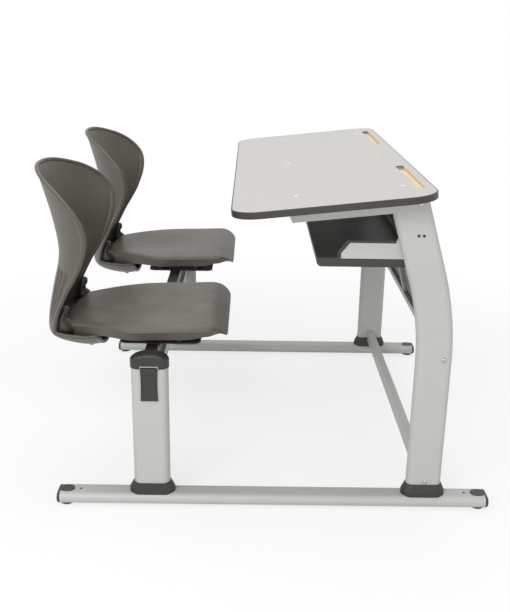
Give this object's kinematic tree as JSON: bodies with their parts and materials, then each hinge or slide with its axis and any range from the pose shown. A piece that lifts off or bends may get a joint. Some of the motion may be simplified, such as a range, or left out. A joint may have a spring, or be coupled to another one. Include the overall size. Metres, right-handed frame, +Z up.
{
  "type": "school desk with bench",
  "caption": "School desk on a floor frame with curved legs, tilted top over a book tray, and a bench of shell seats on sliding columns.",
  "frame": {"origin": "on the floor, under the middle of the whole desk with its bench", "axes": "+Y along the desk top, +X from the seats towards the desk, +Z up"},
  "size_m": [1.128, 1.2, 0.829],
  "materials": {
    "frame_paint": "satin",
    "dark_paint": "satin",
    "dark_plastic": "matte",
    "seat_plastic": "fine grain",
    "board_laminate": "matt laminate",
    "board_edge": "satin",
    "bright_steel": "zinc plated",
    "pale_plastic": "matte"
  },
  "bodies": {
    "root": {"board_bolts": "bright_steel", "board_edge_band": "board_edge", "board_nuts": "bright_steel", "book_tray": "dark_paint", "column_brace": "frame_paint", "desk_board": "board_laminate", "desk_crossbeam": "frame_paint", "far_column_collar": "dark_plastic", "far_desk_leg": "frame_paint", "far_floor_rail": "frame_paint", "far_front_rail_cap": "dark_plastic", "far_guide_bushes": "pale_plastic", "far_latch_housing": "dark_plastic", "far_leg_collar": "dark_plastic", "far_paddle_pin": "bright_steel", "far_rear_rail_cap": "dark_plastic", "far_seat_column": "frame_paint", "far_top_arm": "frame_paint", "far_tray_bracket": "frame_paint", "front_top_rail": "frame_paint", "leg_screws": "bright_steel", "leg_stretcher": "frame_paint", "modesty_panel": "dark_paint", "near_column_collar": "dark_plastic", "near_desk_leg": "frame_paint", "near_floor_rail": "frame_paint", "near_front_rail_cap": "dark_plastic", "near_guide_bushes": "pale_plastic", "near_latch_housing": "dark_plastic", "near_leg_collar": "dark_plastic", "near_paddle_pin": "bright_steel", "near_rear_rail_cap": "dark_plastic", "near_seat_column": "frame_paint", "near_top_arm": "frame_paint", "near_tray_bracket": "frame_paint", "rear_top_rail": "frame_paint", "tray_nuts": "dark_paint", "tray_screws": "dark_paint", "tray_strut": "frame_paint"},
    "seat_carriage": {"back_screws": "bright_steel", "far_back_clips": "dark_plastic", "far_inner_post": "bright_steel", "far_post_head": "dark_plastic", "far_post_shoe": "pale_plastic", "far_seat_back": "seat_plastic", "far_seat_bracket": "dark_paint", "far_seat_pan": "seat_plastic", "near_back_clips": "dark_plastic", "near_inner_post": "bright_steel", "near_post_head": "dark_plastic", "near_post_shoe": "pale_plastic", "near_seat_back": "seat_plastic", "near_seat_bracket": "dark_paint", "near_seat_pan": "seat_plastic", "seat_beam": "dark_paint", "seat_screws": "bright_steel"},
    "near_paddle": {"near_release_paddle": "dark_plastic"},
    "far_paddle": {"far_release_paddle": "dark_plastic"}
  },
  "joints": [
    {"name": "seat_height", "type": "slide", "parent": "root", "child": "seat_carriage", "axis": [0, 0, 1], "range_m": [0, 0.08]},
    {"name": "near_release", "type": "hinge", "parent": "root", "child": "near_paddle", "pos_m": [-0.278, -0.5335, 0.371], "axis": [-1, 0, 0], "range_deg": [0, 12], "stiffness_Nm_per_rad": 0.3, "springref_deg": -11.46},
    {"name": "far_release", "type": "hinge", "parent": "root", "child": "far_paddle", "pos_m": [-0.278, 0.5335, 0.371], "axis": [1, 0, 0], "range_deg": [0, 12], "stiffness_Nm_per_rad": 0.3, "springref_deg": -11.46}
  ]
}
